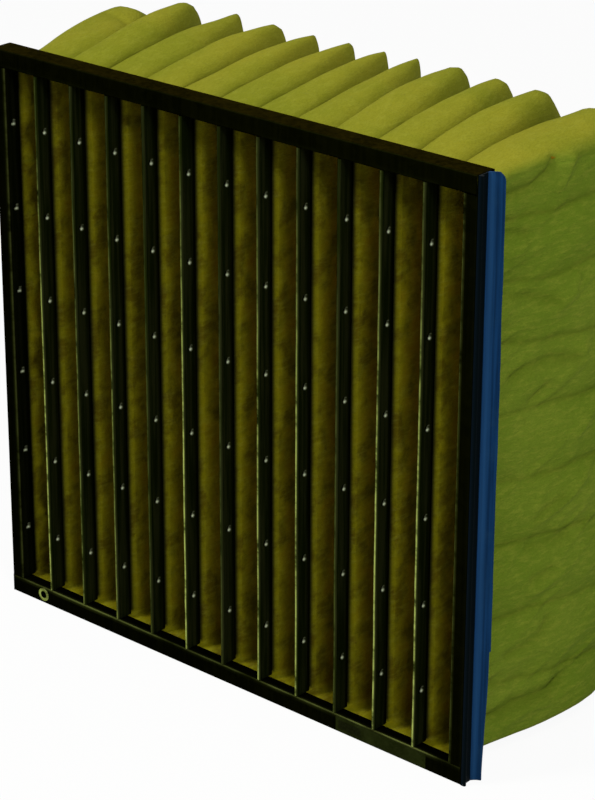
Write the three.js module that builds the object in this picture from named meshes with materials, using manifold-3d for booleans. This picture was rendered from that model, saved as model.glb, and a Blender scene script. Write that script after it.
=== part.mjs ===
// Bag air filter: a folded steel header with twelve tapered media pockets clamped in it.
// X runs across the face, Y runs back with the air and Z is up. The origin is the middle of the
// header's underside, halfway between its front and its back.
import * as THREE from 'three';
import { mergeVertices } from 'three/addons/utils/BufferGeometryUtils.js';
import Module from 'manifold-3d';

// Driving dimensions in millimetres

// Header
const headerWidth = 592;
const headerHeight = 592;
const headerDepth = 25;
const sheet = 0.8;
const bendRadius = 1.8;
const railFlange = 18.5;
const postFlange = 15.3;
const postReturn = 18;
const rearFlange = 8;
const fit = 0.3;
const knockoutRadius = 4;
const knockoutFromEnd = 45.3;
const knockoutHeight = 9.8;
const collarWidth = 3.2;
const collarProud = 0.5;
const roundSides = 14;

// Divider channels and their crimps
const dividerDepth = 18;
const dentRows = 6;
const dentSpacing = 88;
const dentSetBack = 9.5;
const dentRadius = 2.4;
const dentDepth = 1.1;
const dentSides = 5;

// Media pockets
const pocketCount = 12;
const pocketMargin = 9.2;
const pocketLength = 215;
const pocketGap = 0.6;
const media = 4;
const hem = 0.9;
const hemGrip = 5;
const rearSeam = 7;
const taperStart = 0.45;
const taperPower = 0.8;
const topSwell = 27;
const bottomSwell = 2;
const swellSkew = 0.8;
const rearSag = 6;
const sagPower = 2.7;
const cornerDrop = 40;
const dropPower = 40;
const sideSwell = 22;
const sideSwellEnd = 0.75;
const sideSwellPower = 1.5;
const rearLeanShares = [-0.42, -0.5, -0.29, -0.04, -0.17, -0.21, -0.36, -0.59, -0.27, -0.17, -0.04, 0];
const leanPower = 1.5;
const crownFront = 8;
const crownRear = 45;
const crownUnder = 24;
const crownPower = 2.2;
const crownShape = [[-1, 1], [-0.8, 0.35], [0, 0], [0.8, 0.35], [1, 1]];
const creasePitch = 66;
const creaseCount = 9;
const creaseDepth = 4;
const creaseFall = 4;
const outerStations = [0, 0.2, 0.44, 0.66, 0.84, 0.95, 1];
const innerStations = [0, 0.2, 0.66, 0.84, 0.93];

// Side seal
const sealBase = 1.1;
const sealBeadWidth = 4.2;
const sealBeadDepth = 3.5;
const sealSetBack = 0.5;
const sealLipRoot = 13.3;
const lipReach = 11.5;
const lipRun = 9.2;
const lipThickness = 1.3;
const lipFold = 0.9;

// Label plate
const labelWidth = 108.4;
const labelHeight = 15.6;
const labelThickness = 0.3;
const labelFromEnd = 95.2;
const labelCentreZ = 9.2;

// Worked out from the driving dimensions
const front = -headerDepth / 2;
const back = headerDepth / 2;
const sideX = headerWidth / 2;
const middleZ = headerHeight / 2;
const dividerWidth = 2 * (sheet + fit + hem) + fit;
const dividerBack = front + dividerDepth;
const hemFront = dividerBack - hemGrip;
const pitch = (headerWidth - 2 * pocketMargin) / pocketCount;
const postLip = sideX - postFlange;
const hemHalfHeight = middleZ - railFlange + sheet + fit;
const hemEndX = postLip + sheet + fit;

const steel = { color: 0x1a1b10, roughness: 0.42, metalness: 0.85 };
const channelSteel = { color: 0x2a2e16, roughness: 0.34, metalness: 0.8 };
const mediaCloth = { color: 0x8b8c2d, roughness: 0.95, metalness: 0 };
const seal = { color: 0x17397a, roughness: 0.5, metalness: 0 };
const paper = { color: 0x2c3219, roughness: 0.8, metalness: 0 };

const wasm = await Module();
wasm.setup();

function solidOf(geometry) {
  const bare = geometry.clone();
  bare.deleteAttribute('normal');
  bare.deleteAttribute('uv');
  const merged = mergeVertices(bare, 1e-4);
  return new wasm.Manifold(new wasm.Mesh({
    numProp: 3,
    vertProperties: new Float32Array(merged.attributes.position.array),
    triVerts: new Uint32Array(merged.index.array),
  }));
}

function geometryOf(solid) {
  const mesh = solid.getMesh();
  const geometry = new THREE.BufferGeometry();
  geometry.setAttribute('position', new THREE.BufferAttribute(new Float32Array(mesh.vertProperties), 3));
  geometry.setIndex(new THREE.BufferAttribute(new Uint32Array(mesh.triVerts), 1));
  return geometry;
}

const filter = new THREE.Group();

function addPiece(name, geometry, finish) {
  geometry.computeVertexNormals();
  const piece = new THREE.Mesh(geometry, new THREE.MeshStandardMaterial(finish));
  piece.name = name;
  filter.add(piece);
  return piece;
}

// One side of a bent strip: the path moved sideways, with an arc at each bend
function bentSide(path, offset, radius, steps) {
  const points = [];
  path.forEach((corner, i) => {
    if (i === 0 || i === path.length - 1) {
      const along = i === 0 ? path[1].clone().sub(corner) : corner.clone().sub(path[i - 1]);
      along.normalize();
      points.push(new THREE.Vector2(corner.x - along.y * offset, corner.y + along.x * offset));
      return;
    }
    const before = corner.clone().sub(path[i - 1]).normalize();
    const after = path[i + 1].clone().sub(corner).normalize();
    const turn = Math.sign(before.cross(after));
    const centre = corner.clone().addScaledVector(before, -radius).addScaledVector(after, radius);
    const reach = radius - turn * offset;
    const startAngle = Math.atan2(before.y, before.x) - turn * Math.PI / 2;
    for (let step = 0; step <= steps; step += 1) {
      const angle = startAngle + turn * Math.PI / 2 * step / steps;
      points.push(new THREE.Vector2(centre.x + reach * Math.cos(angle), centre.y + reach * Math.sin(angle)));
    }
  });
  return points;
}

// The closed outline of a folded sheet, whose left side follows the path exactly
function foldedShape(path, thickness, radius, steps = 2) {
  const face = bentSide(path, 0, radius, steps);
  const inside = bentSide(path, thickness, radius, steps).reverse();
  return new THREE.Shape([...face, ...inside]);
}

function extrudeUp(shape, height, baseZ = 0) {
  const geometry = new THREE.ExtrudeGeometry(shape, { depth: height, bevelEnabled: false });
  return geometry.translate(0, 0, baseZ);
}

// A shape drawn in Y and Z, run along X about the middle
function extrudeAcross(shape, width) {
  const geometry = new THREE.ExtrudeGeometry(shape, { depth: width, bevelEnabled: false });
  geometry.translate(0, 0, -width / 2);
  const turn = new THREE.Matrix4().makeBasis(
    new THREE.Vector3(0, 1, 0), new THREE.Vector3(0, 0, 1), new THREE.Vector3(1, 0, 0));
  return geometry.applyMatrix4(turn);
}

// The heights of the crimps, the same on every channel and on the posts' lips
const dentHeights = Array.from({ length: dentRows }, (_, row) => (
  middleZ + (row - (dentRows - 1) / 2) * dentSpacing));

// A crimp punched along -X or +X into a wall whose outer face lies at faceX
function punch(solid, faceX, facing) {
  let punched = solid;
  for (const z of dentHeights) {
    const cone = new THREE.ConeGeometry(dentRadius, dentDepth, dentSides);
    cone.rotateZ(facing * Math.PI / 2);
    cone.translate(faceX - facing * dentDepth / 2, front + dentSetBack, z);
    const pit = solidOf(cone);
    const boss = solidOf(cone.translate(-facing * sheet / 2, 0, 0));
    punched = punched.add(boss).subtract(pit);
  }
  return punched;
}

// Top and bottom rails: outer wall, front flange, folded lip and rear flange
function railShape() {
  const path = [
    new THREE.Vector2(back, rearFlange),
    new THREE.Vector2(back, 0),
    new THREE.Vector2(front, 0),
    new THREE.Vector2(front, railFlange),
    new THREE.Vector2(hemFront - fit, railFlange),
  ].reverse();
  return foldedShape(path, sheet, bendRadius);
}

function railGeometry() {
  return extrudeAcross(railShape(), headerWidth - 2 * (sheet + fit));
}

// The knock-out near the bottom rail's left end: a round hole in a low pressed collar
function bottomRail() {
  const x = -sideX + knockoutFromEnd;
  const ring = new THREE.LatheGeometry([
    new THREE.Vector2(knockoutRadius, -sheet / 2),
    new THREE.Vector2(knockoutRadius + collarWidth, -sheet / 2),
    new THREE.Vector2(knockoutRadius + collarWidth / 2, collarProud),
    new THREE.Vector2(knockoutRadius, -sheet / 2),
  ], roundSides);
  ring.rotateX(Math.PI);
  ring.translate(x, front, knockoutHeight);
  const drill = new THREE.CylinderGeometry(knockoutRadius, knockoutRadius, 4 * sheet, roundSides);
  drill.translate(x, front, knockoutHeight);
  return geometryOf(solidOf(railGeometry()).add(solidOf(ring)).subtract(solidOf(drill)));
}

function topRail() {
  const geometry = railGeometry();
  geometry.rotateY(Math.PI);
  return geometry.translate(0, 0, headerHeight);
}

// A side post: its wall runs the full height, its flanges fit between the rails
function postGeometry(side) {
  const path = [
    new THREE.Vector2(sideX - rearFlange, back),
    new THREE.Vector2(sideX, back),
    new THREE.Vector2(sideX, front),
    new THREE.Vector2(postLip, front),
    new THREE.Vector2(postLip, front + postReturn),
  ];
  const flangeStart = railFlange + fit;
  const folded = extrudeUp(foldedShape(path.reverse(), sheet, bendRadius),
    headerHeight - 2 * flangeStart, flangeStart);
  const wall = new THREE.BoxGeometry(sheet, headerDepth - 2 * bendRadius, headerHeight);
  wall.translate(sideX - sheet / 2, 0, middleZ);
  const post = punch(solidOf(folded).add(solidOf(wall)), postLip, -1);
  const geometry = geometryOf(post);
  return side > 0 ? geometry : mirrored(geometry);
}

function mirrored(geometry) {
  geometry.scale(-1, 1, 1);
  const index = geometry.index;
  for (let i = 0; i < index.count; i += 3) {
    const second = index.getX(i + 1);
    index.setX(i + 1, index.getX(i + 2));
    index.setX(i + 2, second);
  }
  return geometry;
}

// A divider: a channel folded round at the front, open to the back, crimped on both walls
function dividerGeometry(centreX) {
  const half = dividerWidth / 2;
  const shape = new THREE.Shape();
  shape.moveTo(half, dividerBack);
  shape.lineTo(half - sheet, dividerBack);
  shape.absarc(0, front + half, half - sheet, 0, -Math.PI, true);
  shape.lineTo(-half + sheet, dividerBack);
  shape.lineTo(-half, dividerBack);
  shape.absarc(0, front + half, half, -Math.PI, 0, false);
  shape.closePath();
  const baseZ = railFlange + fit;
  const channel = new THREE.ExtrudeGeometry(shape, {
    depth: headerHeight - 2 * baseZ, bevelEnabled: false, curveSegments: 3,
  });
  channel.translate(0, 0, baseZ);
  const crimped = punch(punch(solidOf(channel), half, 1), -half, -1);
  return geometryOf(crimped).translate(centreX, 0, 0);
}

// The pocket's width shrinks towards its rear seam
function taper(s) {
  const u = Math.max(0, (s - taperStart) / (1 - taperStart));
  return (1 - u * u) ** taperPower;
}

function tapered(s, full) {
  return rearSeam / 2 + (full - rearSeam / 2) * taper(s);
}

// How far a pocket's rear seam leans to the side: the bags fan out, and not quite evenly
function leanOf(pocket) {
  const place = pocket / (pocketCount - 1) * (rearLeanShares.length - 1);
  const below = Math.min(rearLeanShares.length - 2, Math.floor(place));
  return pitch * THREE.MathUtils.lerp(rearLeanShares[below], rearLeanShares[below + 1], place - below);
}

function centreOf(pocket, s) {
  return (pocket - (pocketCount - 1) / 2) * pitch + leanOf(pocket) * s ** leanPower;
}

// The line between a pocket and the next one, which both keep clear of
function borderOf(pocket, s) {
  const lean = (leanOf(pocket) + leanOf(pocket + 1)) / 2;
  return (pocket + 1 - pocketCount / 2) * pitch + lean * s ** leanPower;
}

// The outer wall of the two end pockets swells past the header's side
function endHalf(s) {
  const mouth = hemEndX + media - pitch * (pocketCount - 1) / 2;
  return mouth + sideSwell * Math.sin(sideSwellEnd * Math.PI * s) ** sideSwellPower;
}

// Edges of a pocket's outer skin at a share s of its length behind the header
function skin(pocket, s) {
  const centre = centreOf(pocket, s);
  const leftFull = pocket === 0 ? endHalf(s) : centre - borderOf(pocket - 1, s) - pocketGap / 2;
  const rightFull = pocket === pocketCount - 1 ? endHalf(s)
    : borderOf(pocket, s) - centre - pocketGap / 2;
  const swell = Math.max(0, Math.sin(Math.PI * s ** swellSkew));
  const rise = Math.sin(Math.PI / 2 * s);
  const drop = cornerDrop * s ** dropPower;
  return {
    left: centre - tapered(s, leftFull),
    right: centre + tapered(s, rightFull),
    top: middleZ + hemHalfHeight + media + topSwell * rise - rearSag * s ** sagPower - drop,
    bottom: middleZ - hemHalfHeight - media - bottomSwell * swell + drop,
    crown: crownFront + (crownRear - crownFront) * s ** crownPower,
    under: crownFront + (crownUnder - crownFront) * s,
    crease: creaseDepth * Math.sqrt(swell),
    fall: creaseFall * (0.5 - s),
  };
}

function inset(edges, wall) {
  return {
    ...edges,
    left: edges.left + wall,
    right: edges.right - wall,
    top: edges.top - wall,
    bottom: edges.bottom + wall,
  };
}

// The hem is a plain rectangular sleeve that the channels and lips grip
function hemEdges(pocket, thickness) {
  const reach = thickness - hem;
  const channelLeft = (pocket - pocketCount / 2) * pitch + fit / 2 + hem - thickness;
  const channelRight = (pocket + 1 - pocketCount / 2) * pitch - fit / 2 - hem + thickness;
  return {
    left: pocket === 0 ? -hemEndX - hem - reach : channelLeft,
    right: pocket === pocketCount - 1 ? hemEndX + hem + reach : channelRight,
    top: middleZ + hemHalfHeight + thickness,
    bottom: middleZ - hemHalfHeight - thickness,
    crown: 0,
    under: 0,
    crease: 0,
    fall: 0,
  };
}

// One side of a section from the top down. An end pocket's free side is drawn in along
// its sewn creases, and the other sides are plain.
function sidePoints(x, outward, edges, creased) {
  const high = edges.top - edges.crown;
  const low = edges.bottom + edges.under;
  const count = creased ? 2 * creaseCount - 1 : 3;
  return Array.from({ length: count }, (_, i) => {
    if (!creased) return [x, high + (low - high) * (i + 1) / (count + 1)];
    const fromMiddle = ((count - 1) / 2 - i) * creasePitch / 2 + edges.fall;
    const z = middleZ + fromMiddle * (high - low) / (headerHeight + edges.fall);
    return [x - (i % 2 === 0 ? outward * edges.crease : 0), z];
  });
}

// A closed section: crown over the top, down the right side, under, and up the left side
function section(pocket, edges) {
  const half = (edges.right - edges.left) / 2;
  const centre = (edges.right + edges.left) / 2;
  const over = crownShape.map(([t, dip]) => [centre + half * t, edges.top - edges.crown * dip]);
  const under = crownShape.map(([t, dip]) => [centre - half * t, edges.bottom + edges.under * dip]);
  const right = sidePoints(edges.right, 1, edges, pocket === pocketCount - 1);
  const left = sidePoints(edges.left, -1, edges, pocket === 0).reverse();
  return [...over, ...right, ...under, ...left];
}

// A pocket: the outer skin from the hem to the rear seam, then the inside back to the hem
function pocketGeometry(pocket) {
  const rows = [];
  const addRow = (edges, y) => rows.push({ y, points: section(pocket, edges) });
  addRow(hemEdges(pocket, hem), hemFront);
  addRow(hemEdges(pocket, hem), dividerBack + fit);
  outerStations.forEach((s) => addRow(skin(pocket, s), back + pocketLength * s));
  const outerRows = rows.length;
  [...innerStations].reverse().forEach((s) => (
    addRow(inset(skin(pocket, s), media), back + pocketLength * s)));
  addRow(hemEdges(pocket, 0), dividerBack + fit);
  addRow(hemEdges(pocket, 0), hemFront);

  const count = rows[0].points.length;
  const positions = rows.flatMap((row) => row.points.flatMap(([x, z]) => [x, row.y, z]));
  const index = [];
  const quad = (a, b, c, d) => index.push(a, c, b, a, d, c);
  rows.forEach((_, r) => {
    const next = (r + 1) % rows.length;
    if (next === outerRows) return;
    for (let i = 0; i < count; i += 1) {
      const j = (i + 1) % count;
      quad(r * count + i, next * count + i, next * count + j, r * count + j);
    }
  });
  capRow(rows, outerRows - 1, positions, index, true);
  capRow(rows, outerRows, positions, index, false);
  const geometry = new THREE.BufferGeometry();
  geometry.setAttribute('position', new THREE.Float32BufferAttribute(positions, 3));
  geometry.setIndex(index);
  return geometry;
}

// Closes a row with a fan of faces from its middle
function capRow(rows, r, positions, index, outer) {
  const { points, y } = rows[r];
  const count = points.length;
  const middle = positions.length / 3;
  const x = points.reduce((sum, point) => sum + point[0], 0) / count;
  positions.push(x, y, middleZ);
  for (let i = 0; i < count; i += 1) {
    const here = r * count + i;
    const there = r * count + (i + 1) % count;
    if (outer) index.push(there, middle, here);
    else index.push(here, middle, there);
  }
}

// The side seal: a thin base on the right post, a bead at its front and a flared lip
function sealGeometry() {
  const baseX = sideX + fit;
  const faceX = baseX + sealBase;
  const beadX = baseX + sealBeadWidth;
  const frontY = front + sealSetBack;
  const rootY = front + sealLipRoot;
  const nick = sealBase / 2;
  const shape = new THREE.Shape([
    new THREE.Vector2(baseX, frontY),
    new THREE.Vector2(beadX - nick, frontY),
    new THREE.Vector2(beadX, frontY + nick),
    new THREE.Vector2(beadX, frontY + sealBeadDepth - nick),
    new THREE.Vector2(beadX - nick, frontY + sealBeadDepth),
    new THREE.Vector2(faceX, frontY + sealBeadDepth),
    new THREE.Vector2(faceX, rootY),
    new THREE.Vector2(faceX + lipReach / 2, rootY + lipRun / 2 + lipFold),
    new THREE.Vector2(faceX + lipReach, rootY + lipRun),
    new THREE.Vector2(faceX + lipReach - lipThickness / 2, rootY + lipRun + lipThickness),
    new THREE.Vector2(faceX + lipReach / 2 - lipThickness / 2, rootY + lipRun / 2 + lipFold + lipThickness),
    new THREE.Vector2(baseX, rootY + 2 * lipThickness),
  ]);
  return extrudeUp(shape, headerHeight);
}

function labelGeometry() {
  const plate = new THREE.BoxGeometry(labelWidth, labelThickness, labelHeight);
  return plate.translate(sideX - labelFromEnd, front - labelThickness / 2, labelCentreZ);
}

addPiece('header_rail_bottom', bottomRail(), steel);
addPiece('header_rail_top', topRail(), steel);
addPiece('header_post_left', postGeometry(-1), steel);
addPiece('header_post_right', postGeometry(1), steel);
for (let i = 1; i < pocketCount; i += 1) {
  addPiece(`divider_channel_${i}`, dividerGeometry((i - pocketCount / 2) * pitch), channelSteel);
}
for (let i = 0; i < pocketCount; i += 1) {
  addPiece(`media_pocket_${i + 1}`, pocketGeometry(i), mediaCloth);
}
addPiece('side_seal', sealGeometry(), seal);
addPiece('blank_label', labelGeometry(), paper);

export default filter;
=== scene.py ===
"""Looks of a bag air filter: a folded steel header, crimped divider channels, twelve puffed
media pockets, a blue side seal and a plain label. Lengths are in millimetres until a mesh is made."""

import math

import bmesh
import bpy
import numpy as np
from mathutils import Matrix, Vector


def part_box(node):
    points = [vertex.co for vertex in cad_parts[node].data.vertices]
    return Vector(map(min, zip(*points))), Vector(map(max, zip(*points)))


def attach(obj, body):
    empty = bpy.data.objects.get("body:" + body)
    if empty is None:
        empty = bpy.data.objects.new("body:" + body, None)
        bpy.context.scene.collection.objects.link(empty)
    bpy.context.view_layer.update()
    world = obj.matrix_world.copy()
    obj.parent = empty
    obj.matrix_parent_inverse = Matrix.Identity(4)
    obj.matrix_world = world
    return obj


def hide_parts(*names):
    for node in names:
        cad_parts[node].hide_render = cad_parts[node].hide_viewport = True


MM = 0.001

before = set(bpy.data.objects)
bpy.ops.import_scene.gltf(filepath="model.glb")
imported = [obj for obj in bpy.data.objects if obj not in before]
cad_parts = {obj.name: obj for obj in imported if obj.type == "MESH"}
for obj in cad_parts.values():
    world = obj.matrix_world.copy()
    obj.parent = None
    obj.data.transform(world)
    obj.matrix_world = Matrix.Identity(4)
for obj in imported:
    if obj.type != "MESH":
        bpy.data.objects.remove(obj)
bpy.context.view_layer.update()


# Camera

CAMERA_PLACE = (1572.66, -1733.86, 1313.21)
CAMERA_RIGHT = (0.758329, 0.65186453, 0.00312371)
CAMERA_DOWN = (0.24002883, -0.27476942, -0.93106816)
CAMERA_AHEAD = (-0.60607202, 0.70680577, -0.3648319)
CAMERA_LENS = 120.722
SENSOR = 36.0
LENS_SHIFT = -0.12
CLIP_NEAR, CLIP_FAR = 0.05, 100.0


def place_camera():
    data = bpy.data.cameras.new("studio_camera")
    data.sensor_fit = "VERTICAL"
    data.sensor_height = SENSOR
    data.lens = CAMERA_LENS
    data.shift_y = LENS_SHIFT
    data.clip_start, data.clip_end = CLIP_NEAR, CLIP_FAR
    camera = bpy.data.objects.new("studio_camera", data)
    right, down, ahead = Vector(CAMERA_RIGHT), Vector(CAMERA_DOWN), Vector(CAMERA_AHEAD)
    turn = Matrix((right, -down, -ahead)).transposed().to_4x4()
    camera.matrix_world = Matrix.Translation(Vector(CAMERA_PLACE) * MM) @ turn
    bpy.context.scene.collection.objects.link(camera)
    bpy.context.scene.camera = camera


place_camera()


# Sizes of the real filter

HEADER_HALF = 296.0
FRONT, BACK = -12.5, 12.5
SHEET = 0.8
BEND = 1.8
RAIL_FLANGE = 18.5
POST_FLANGE = 15.3
POST_RETURN = 18.0
REAR_FLANGE = 8.0
FIT = 0.3
MIDDLE = 296.0
PITCH = 47.8
POCKETS = 12
CHANNEL_DEPTH = 18.0
CHANNEL_HALF = 2.15
CHANNEL_BACK = FRONT + CHANNEL_DEPTH
CRIMP_HEIGHTS = [MIDDLE + (row - 2.5) * 88.0 for row in range(6)]
CRIMP_Y = FRONT + 9.5
CRIMP_HALF_HEIGHT, CRIMP_HALF_WIDTH, CRIMP_PRESS = 4.2, 3.2, 1.15
# How bright the painted highlight on each channel's front edge is, from the left.
CHANNEL_HIGHLIGHT = [0.8, 0.3, 0.35, 0.12, 0.9, 0.1, 0.7, 0.75, 0.12, 0.8, 0.85]
# The label's darker field: from and to, across and up from its lower left corner.
LABEL_FIELD = ((2.4, 31.0), (2.6, 12.6))
HOLE_X, HOLE_Z, HOLE_RADIUS = -HEADER_HALF + 45.3, 9.8, 4.0
# Section of the ring round the hole: how far from its middle, and how far in.
HOLE_RING = [(4.0, 0.5), (4.0, -0.15), (4.5, -0.55), (5.3, -0.72), (6.2, -0.5), (7.1, -0.05),
             (7.4, 0.5)]

POCKET_LENGTH = 215.0
POCKET_GAP = 0.6
MEDIA = 4.0
HEM = 0.9
HEM_FRONT = 0.5
HEM_HALF_HEIGHT = 278.6
HEM_END = 281.8
REAR_SEAM = 7.0
TAPER_START, FLANK_TAPER_START, TAPER_POWER = 0.45, 0.72, 0.8
CROWN_POWER = 2.2
TOP_SWELL, BOTTOM_SWELL, SWELL_SKEW = 27.0, 2.0, 0.8
REAR_SAG, SAG_POWER = 6.0, 2.7
CORNER_DROP = 38.0
# Length of each pocket's cut-off top corner, and how late in that length it falls.
CORNERS = [(62, 1.3), (45, 2.8), (12, 1.0), (20, 2.0), (11, 1.0), (10, 1.0), (8, 1.0), (4, 1.0),
           (34, 2.8), (32, 1.9), (34, 1.1), (42, 1.3)]
BOTTOM_CORNER_RISE, BOTTOM_CORNER_POWER = 0.3, 40
SIDE_SWELL, SIDE_SWELL_END, SIDE_SWELL_POWER = 22.0, 0.75, 1.5
# How far each pocket's rear end leans to the right, and how much more its top rises there.
REAR_LEAN = [-20, -24, -14, -2, -8, -10, -17, -28, -13, -8, -2, 0]
TOP_LIFT = [-4, 6, 0, 0, -4, -3, -5, -5, 4, 2, 4, 0]
LEAN_POWER = 1.5
CROWN_FRONT, CROWN_REAR, CROWN_UNDER = 8.0, 45.0, 24.0
TOP_FOLD, TOP_FOLD_DEPTH = 0.6, 8.0
FLANK_SWELL = 10.0
WALL_STEPS, PANEL_WALL_STEPS, CROWN_STEPS = 110, 220, 9
STATIONS, PANEL_STATIONS = 24, 80
ROW_CREASE, ROW_SINK, ROW_SINK_WIDTH = 4.6, 3.8, 24.0
WRINKLE, FURROW, PANEL_NAP = 4.0, 1.25, 0.35
# Heights of a side panel's sewn rows at the start and the end of a span of its depth.
PANEL_ROWS = [(531, 541), (473, 475), (416, 411), (348, 348), (286, 279), (221, 213), (146, 141),
              (76, 70)]
ROWS_START, ROWS_SPAN = 40, 110
# Folds pressed into the right panel: depth, width, and the places in y and z that each runs through.
PANEL_FURROWS = [
    (6.0, 6.0, [(35, 556), (66, 562), (83, 573), (94, 591), (114, 612)]),
    (-4.5, 6.0, [(95, 557), (103, 578), (117, 609)]),
    (3.0, 4.0, [(39, 524), (62, 519)]),
    (-3.0, 4.0, [(59, 511), (54, 506), (44, 504)]),
    (-3.0, 4.0, [(122, 466), (116, 454), (98, 443)]),
    (3.5, 5.0, [(39, 465), (66, 460), (97, 449)]),
    (4.0, 6.0, [(52, 385), (70, 392), (93, 394), (124, 388)]),
    (-3.0, 5.0, [(102, 370), (119, 378), (133, 394)]),
    (3.0, 5.0, [(73, 358), (90, 370)]),
    (-3.0, 5.0, [(128, 312), (152, 333)]),
    (3.0, 4.0, [(82, 238), (98, 247), (114, 253)]),
    (-3.0, 5.0, [(81, 233), (102, 243), (142, 263)]),
    (3.0, 5.0, [(79, 211), (106, 209), (126, 212)]),
    (3.0, 5.0, [(83, 177), (103, 182)]),
    (-3.0, 5.0, [(82, 163), (115, 176)]),
    (3.5, 6.0, [(57, 106), (75, 110), (95, 117), (104, 128)]),
    (3.0, 5.0, [(116, 56), (133, 67)]),
    (6.0, 7.0, [(30, 46), (52, 46), (67, 51), (89, 52), (108, 53), (121, 57)]),
    (-4.0, 6.0, [(53, 36), (78, 44), (103, 42)]),
]


# Node materials

class Wire:
    """One socket in a material's node tree. Arithmetic on it adds Math nodes."""

    def __init__(self, tree, socket=None):
        self.tree = tree
        self.socket = socket

    def node(self, kind, settings=None, inputs=None, output=0):
        """Adds a node, sets its settings and then its sockets, and gives one of its outputs."""
        made = self.tree.nodes.new(kind)
        for name, value in (settings or {}).items():
            setattr(made, name, value)
        for key, value in (inputs or {}).items():
            feed(made, key, value)
        return Wire(self.tree, made.outputs[output])

    def math(self, operation, first, second):
        return self.node("ShaderNodeMath", {"operation": operation}, {0: first, 1: second})

    def __add__(self, other):
        return self.math("ADD", self, other)

    def __sub__(self, other):
        return self.math("SUBTRACT", self, other)

    def __rsub__(self, other):
        return self.math("SUBTRACT", other, self)

    def __mul__(self, other):
        return self.math("MULTIPLY", self, other)

    __radd__ = __add__
    __rmul__ = __mul__

    def between(self, low, high):
        """0 where the value is under low and 1 where it is over high, eased in between."""
        return self.node("ShaderNodeMapRange", {"interpolation_type": "SMOOTHSTEP"},
                         {"Value": self, "From Min": low, "From Max": high})

    def most(self, other):
        return self.math("MAXIMUM", self, other)

    def colour(self, under, over):
        """A colour that goes from under to over as this value goes from 0 to 1."""
        return self.node("ShaderNodeMix", {"data_type": "RGBA"},
                         {"Factor": self, "A": paint(under), "B": paint(over)}, "Result")


def paint(value):
    return value if isinstance(value, Wire) else (*value, 1)


def srgb(red, green, blue):
    """A colour written in 0 to 255, as the shader's linear values."""
    shares = (red / 255, green / 255, blue / 255)
    return tuple(v / 12.92 if v < 0.04045 else ((v + 0.055) / 1.055) ** 2.4 for v in shares)


def new_finish(name):
    """An empty material: its tree's wire and its Principled shader."""
    material = bpy.data.materials.new(name)
    material.use_nodes = True
    return material, Wire(material.node_tree), material.node_tree.nodes["Principled BSDF"]


def feed(node, key, value):
    """Sets a socket of a node to a number or colour, or links a wire to it."""
    if isinstance(value, Wire):
        value.tree.links.new(value.socket, node.inputs[key])
    else:
        node.inputs[key].default_value = value


def place_of(wire):
    return wire.node("ShaderNodeTexCoord", output="Object")


def stretched(wire, place, scale):
    return wire.node("ShaderNodeVectorMath", {"operation": "MULTIPLY"}, {0: place, 1: scale})


def cloud(wire, place, scale, detail, rough):
    return wire.node("ShaderNodeTexNoise", inputs={
        "Vector": place, "Scale": scale, "Detail": detail, "Roughness": rough})


def bump(wire, height, distance, strength, under=None):
    inputs = {"Height": height, "Distance": distance, "Strength": strength}
    if under:
        inputs["Normal"] = under
    return wire.node("ShaderNodeBump", inputs=inputs)


def mark(wire, name):
    """A value that the mesh carries at its points."""
    return wire.node("ShaderNodeAttribute", {"attribute_name": name}, output="Fac")


def media_finish():
    """Yellow-green nonwoven fibre: dull and softly napped. Painted shade makes it greener on the end
    pockets' outer flanks, browner and darker deep inside the pockets, darker in its folds and near
    black at their mouths."""
    material, wire, shader = new_finish("nonwoven_media")
    place = place_of(wire)
    depth = wire.node("ShaderNodeSeparateXYZ", inputs={"Vector": place}, output="Y")
    blotch = cloud(wire, place, 9.0, 3.0, 0.55)
    patch = cloud(wire, stretched(wire, place, (1.0, 0.6, 0.6)), 60.0, 4.0, 0.6)
    fleck = cloud(wire, stretched(wire, place, (1.0, 0.45, 1.6)), 170.0, 4.0, 0.65)
    fibre = cloud(wire, stretched(wire, place, (1.0, 0.35, 1.0)), 900.0, 2.0, 0.7)
    outside = blotch.between(0.3, 0.7).colour(srgb(123, 126, 30), srgb(139, 135, 36))
    # Painted shade: the end pockets' outer flanks are coloured darker and greener than the tops.
    flank = blotch.between(0.3, 0.7).colour(srgb(97, 117, 28), srgb(107, 124, 34))
    skin_tone = mark(wire, "flank").colour(outside, flank)
    # Painted shade: inside the pockets the media is darker, and browner the deeper it lies behind the
    # header.
    far_in = (depth * 18.0 + patch * 0.9 - 0.6).between(0.0, 1.0)
    deep = far_in.colour(srgb(124, 118, 8), srgb(138, 97, 8))
    inside = patch.between(0.35, 0.55).colour(srgb(94, 82, 5), deep)
    base = mark(wire, "inside").colour(skin_tone, inside)
    worn = (fleck.between(0.42, 0.72) * 0.22).colour(base, srgb(158, 158, 58))
    shaded = ((1 - fibre.between(0.3, 0.62)) * 0.2).colour(worn, srgb(66, 72, 10))
    # Painted shade in the media's creases, folds and valleys, carried by the fold mark.
    folded = (mark(wire, "fold") * 0.7).colour(shaded, srgb(66, 74, 8))
    # Painted shade: the hem and the strip just behind the channels are painted near black.
    feed(shader, "Base Color", mark(wire, "mouth").colour(folded, srgb(5, 8, 3)))
    feed(shader, "Roughness", 0.92 - fleck * 0.08)
    feed(shader, "Specular IOR Level", 0.05)
    soft = bump(wire, fleck, 0.0025, 0.4)
    feed(shader, "Normal", bump(wire, fibre, 0.0005, 0.5, soft))
    return material


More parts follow.
